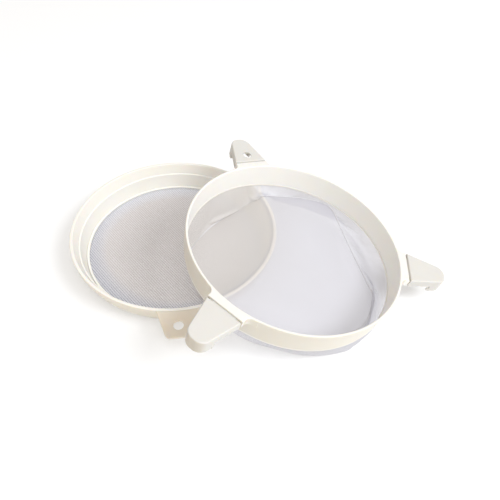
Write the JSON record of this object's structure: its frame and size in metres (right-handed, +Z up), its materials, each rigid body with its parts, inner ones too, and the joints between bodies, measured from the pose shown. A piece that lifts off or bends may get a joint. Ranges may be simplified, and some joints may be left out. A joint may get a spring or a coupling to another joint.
{
  "type": "double sieve strainer",
  "caption": "Honey strainer set of a round coarse sieve lying flat and a fine cloth sieve with hooked arms that leans over its rim.",
  "frame": {"origin": "bottom centre of the whole set's box, on the surface that it stands on", "axes": "+Z up, +X from the coarse sieve towards the fine sieve, +Y away from the side with the coarse sieve's hanging tab"},
  "size_m": [0.4263, 0.304, 0.0917],
  "materials": {
    "cream_plastic": "satin gloss",
    "arm_plastic": "fine matte",
    "coarse_weave": "woven mesh",
    "nylon_cloth": "fine translucent weave"
  },
  "bodies": {
    "coarse_sieve": {"coarse_hoop": "cream_plastic", "coarse_tab": "cream_plastic", "coarse_retaining_ring": "cream_plastic", "coarse_mesh": "coarse_weave"},
    "fine_sieve": {"fine_hoop": "cream_plastic", "fine_retaining_ring": "cream_plastic", "fine_arm_front": "arm_plastic", "fine_arm_right": "arm_plastic", "fine_arm_back": "arm_plastic", "fine_bag_wall": "nylon_cloth", "fine_bag_floor": "nylon_cloth"}
  },
  "joints": [
    {"name": "fine_lift", "type": "slide", "parent": "coarse_sieve", "child": "fine_sieve", "axis": [0, 0, 1], "range_m": [0, 0.15]}
  ]
}
